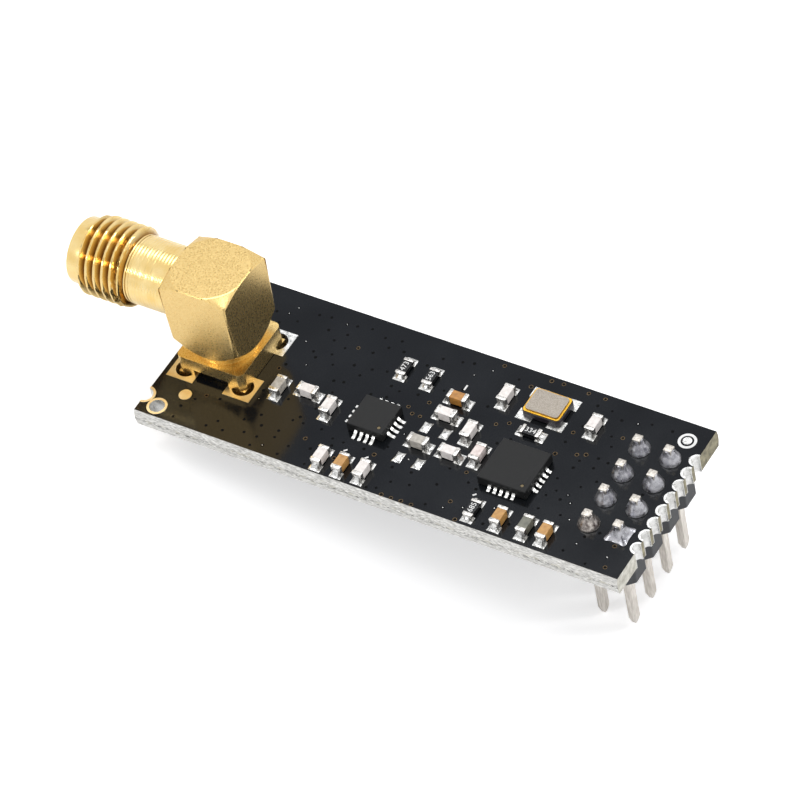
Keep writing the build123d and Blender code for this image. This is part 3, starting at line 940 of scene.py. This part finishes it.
# Chip packages: black epoxy moulded round the chip, with a fine matt skin. Their leads are flush
# underneath, and solder has climbed the edge of each.
package_epoxy = patchy_finish(
    "moulded_epoxy", {"IOR": 1.38}, ("#0B0C0D", "#161718"), 0.16, (0.42, 0.6), 0.06, 0.007
)
for node in ("amplifier_chip", "transceiver_chip"):
    rounded(node, 0.03, package_epoxy)
for node in ("amplifier_leads", "transceiver_leads"):
    finish_node(node, tin)

# Crystal: a dark ceramic tub with a thin gold braze ring on its rim, closed by a brushed nickel lid
# that is welded to the ring.
dark_ceramic = patchy_finish(
    "dark_fired_ceramic", {"IOR": 1.6}, ("#17131C", "#262029"), 0.4, (0.35, 0.5), 0.08, 0.006
)
braze_gold = patchy_finish(
    "gold_braze", {"Metallic": 1}, ("#E8A92C", "#F8CB55"), 0.5, (0.25, 0.35), 0.1, 0.004
)
brushed_nickel = patchy_finish(
    "brushed_nickel", {"Metallic": 1}, ("#8A8379", "#B2AAA0"), 0.07, (0.34, 0.46), 0.04, 0.004
)
rounded("crystal_base", 0.04, dark_ceramic)
rounded("crystal_seal", 0.02, braze_gold)
rounded("crystal_lid", 0.03, brushed_nickel)

# Chip capacitors: bars of fired ceramic, whose colour goes with their value, between two ends
# dipped in tin. Chip resistors: thin ceramic under black glass, between the same ends.
ceramic_tones = {
    "white": ("#D8D2CE", "#F1ECE9"),
    "grey": ("#9C978F", "#C2BDB4"),
    "green": ("#5E5F55", "#7C7C70"),
    "tan": ("#A9793D", "#C99A58"),
    "orange": ("#9A682C", "#C2883C"),
    "pink": ("#CDBDB8", "#EADFDB"),
}
capacitor_tones = {
    1: "grey",
    5: "tan",
    7: "orange",
    10: "grey",
    12: "pink",
    15: "tan",
    16: "green",
    17: "tan",
}
ceramics = {
    tone: patchy_finish(f"{tone}_fired_ceramic", {"IOR": 1.6}, tones, 0.3, (0.4, 0.55), 0.05, 0.004)
    for tone, tones in ceramic_tones.items()
}
black_glass = patchy_finish(
    "black_overglaze", {"IOR": 1.52}, ("#08080A", "#131417"), 0.4, (0.18, 0.28), 0.1, 0.003
)
dipped_tin = patchy_finish(
    "dipped_tin", {"Metallic": 1}, ("#9D9A96", "#F8F6F2"), 0.15, (0.2, 0.4), 0.1, 0.01
)
chip_counts = {"capacitor": 17, "resistor": 4}
for number in range(1, chip_counts["capacitor"] + 1):
    rounded(f"capacitor_{number}", 0.02, ceramics[capacitor_tones.get(number, "white")])
for number in range(1, chip_counts["resistor"] + 1):
    rounded(f"resistor_{number}", 0.02, black_glass)
rounded("capacitor_terminals", 0.06, dipped_tin, segments=3)
rounded("resistor_terminals", 0.05, dipped_tin, segments=3)

# Marks on the parts: a value in white ink on each resistor, and a brown dot, burnt by a laser in a
# shallow dimple, by pin 1 of each package.
resistor_values = {1: "473", 2: "563", 3: "334", 4: "685"}
value_height = 0.6 * MM
value_relief = 0.004 * MM
curve_steps = 3
for number, value in resistor_values.items():
    low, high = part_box(f"resistor_{number}")
    text = bpy.data.curves.new(f"value_{value}", "FONT")
    text.body = value
    text.size = value_height
    text.align_x = "CENTER"
    text.align_y = "CENTER"
    text.extrude = value_relief
    text.resolution_u = curve_steps
    letters = bpy.data.objects.new(f"value_{value}", text)
    mesh = bpy.data.meshes.new_from_object(letters)
    turn = math.radians(90 if high.y - low.y > high.x - low.x else 0)
    middle = Vector(((low.x + high.x) / 2, (low.y + high.y) / 2, high.z + value_relief))
    for vertex in mesh.vertices:
        spot = vertex.co.copy()
        vertex.co = middle + Vector(
            (
                spot.x * math.cos(turn) - spot.y * math.sin(turn),
                spot.x * math.sin(turn) + spot.y * math.cos(turn),
                spot.z,
            )
        )
    bpy.data.objects.remove(letters)
    mesh.materials.clear()
    mesh.materials.append(white_ink)
    digits = bpy.data.objects.new(f"resistor_{number}_value", mesh)
    bpy.context.collection.objects.link(digits)
    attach(digits, "root")

dimple_radius = 0.12 * MM
dimple_inset = 0.5 * MM
dimple_depth = 0.04 * MM
dot_rise = 0.003 * MM
dot_sides = 24
dot_paint = patchy_finish(
    "laser_mark_on_epoxy", {"IOR": 1.5}, ("#6C5D3E", "#807253"), 0.1, (0.6, 0.7), 0.05, 0.003
)
points = []
faces = []
for node in ("amplifier_chip", "transceiver_chip"):
    low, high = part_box(node)
    dot_at = (high.x - dimple_inset, low.y + dimple_inset, high.z - dimple_depth)
    flat_ring(points, faces, *dot_at, 0, dimple_radius, dot_rise, dot_sides)
dots = make_piece("package_dots", points, faces, [dot_paint], smooth=False)
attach(dots, "root")

# Solder under the chips: each end sits on a tinned land, and the solder is drawn up its face in a
# hollow fillet, narrow at the chip and spread to the corners of the land.
oven_solder = patchy_finish(
    "oven_solder", {"Metallic": 1}, ("#8C8C8B", "#FAFAF8"), 0.16, (0.14, 0.34), 0.12, 0.016
)
terminal_wall = 0.03 * MM
land_reach = 0.36 * MM
land_tuck = 0.3 * MM
land_half = 0.48 * MM
waist_half = 0.27 * MM
copper = 0.05 * MM
fillet_share = 0.7
fillet_rows = 8
fillet_columns = 10
fillet_lean = (-0.2, 0.2)
fillet_hollow = (1.7, 2.5)
fillet_pinch = (0.8, 1.15)
fillet_flare = 1.6
fillet_droop = 0.5
fillet_lip = 0.045 * MM
land_inset = 0.98
land_shoulder = 0.8
land_round = 0.03 * MM
fillet_sharp = math.radians(50)
points = []
faces = []
fillet_seed = 41
random.seed(fillet_seed)


def solder_joint(end, out, across, rise):
    """A fillet from the chip's end face down to the outer edge of its land, with its skirt."""
    start = len(points)
    lean = random.uniform(*fillet_lean)
    hollow = random.uniform(*fillet_hollow)
    pinch = random.uniform(*fillet_pinch)
    for i in range(fillet_rows + 1):
        v = i / fillet_rows
        half = waist_half * pinch + (land_half - waist_half * pinch) * v**fillet_flare
        for j in range(fillet_columns + 1):
            u = 2 * j / fillet_columns - 1
            top = rise * (1 - v) ** hollow * (1 - fillet_droop * u * u) * (1 + lean * u)
            lip = fillet_lip * math.sin(math.pi * v) * (1 - u**4)
            height = copper + max(0, top) + lip
            if j in (0, fillet_columns):
                height = 0
            points.append(end + out * land_reach * v + across * half * u + Vector((0, 0, height)))
    row = fillet_columns + 1
    for i in range(fillet_rows):
        for j in range(fillet_columns):
            a = start + i * row + j
            faces.append((a, a + row, a + row + 1, a + 1))
    tip = start + fillet_rows * row
    skirt = len(points)
    points.extend(Vector((p.x, p.y, board_top)) for p in points[tip : tip + row])
    for j in range(fillet_columns):
        faces.append((tip + j, skirt + j, skirt + j + 1, tip + j + 1))
    land = len(points)
    land_end = land_reach * land_inset
    corners = [
        (-land_tuck, -land_half),
        (-land_tuck, land_half),
        (land_end, land_half),
        (land_end, -land_half),
    ]
    for level, inset in ((0, 0), (copper * land_shoulder, 0), (copper, land_round)):
        for along, side in corners:
            along -= math.copysign(inset, along)
            side -= math.copysign(inset, side)
            points.append(end + out * along + across * side + Vector((0, 0, level)))
    for level in (0, 4):
        for k in range(4):
            a = land + level + k
            b = land + level + (k + 1) % 4
            faces.append((a, a + 4, b + 4, b))
    faces.append(tuple(land + 8 + k for k in range(4)))


for kind, count in chip_counts.items():
    for number in range(1, count + 1):
        low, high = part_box(f"{kind}_{number}")
        size = high - low
        out = Vector((1, 0, 0)) if size.x > size.y else Vector((0, 1, 0))
        across = Vector((-out.y, out.x, 0))
        half_length = max(size.x, size.y) / 2 + terminal_wall
        middle = Vector(((low.x + high.x) / 2, (low.y + high.y) / 2, board_top))
        rise = fillet_share * (size.z + 2 * terminal_wall)
        for turn in (1, -1):
            solder_joint(middle + out * turn * half_length, out * turn, across * turn, rise)
fillets = make_piece("chip_solder_fillets", points, faces, [oven_solder])
shape = bmesh.new()
shape.from_mesh(fillets.data)
bmesh.ops.recalc_face_normals(shape, faces=shape.faces)
shape.to_mesh(fillets.data)
shape.free()
fillets.data.set_sharp_from_angle(angle=fillet_sharp)
stand_for(fillets, "chip_solder")

# Empty lands: two places where no part is fitted. Solder has drawn to the corners of each land and
# left its sides hollow.
horn_columns = 12
horn_waist = 0.11
horn_reach = 1.1
horn_dome = 0.08 * MM
points = []
faces = []
for low, high in island_boxes("empty_lands"):
    middle = (low + high) / 2
    half = (high - low) / 2 * horn_reach
    start = len(points)
    for i in range(horn_columns + 1):
        for j in range(horn_columns + 1):
            u = 2 * i / horn_columns - 1
            v = 2 * j / horn_columns - 1
            x = middle.x + half.x * u * (1 - horn_waist * (1 - v * v))
            y = middle.y + half.y * v * (1 - horn_waist * (1 - u * u))
            on_rim = i in (0, horn_columns) or j in (0, horn_columns)
            swell = horn_dome * (1 - u * u) * (1 - v * v)
            points.append(Vector((x, y, board_top if on_rim else board_top + copper + swell)))
    row = horn_columns + 1
    for i in range(horn_columns):
        for j in range(horn_columns):
            a = start + i * row + j
            faces.append((a, a + row, a + row + 1, a + 1))
horns = make_piece("empty_lands_tinned", points, faces, [oven_solder])
stand_for(horns, "empty_lands")
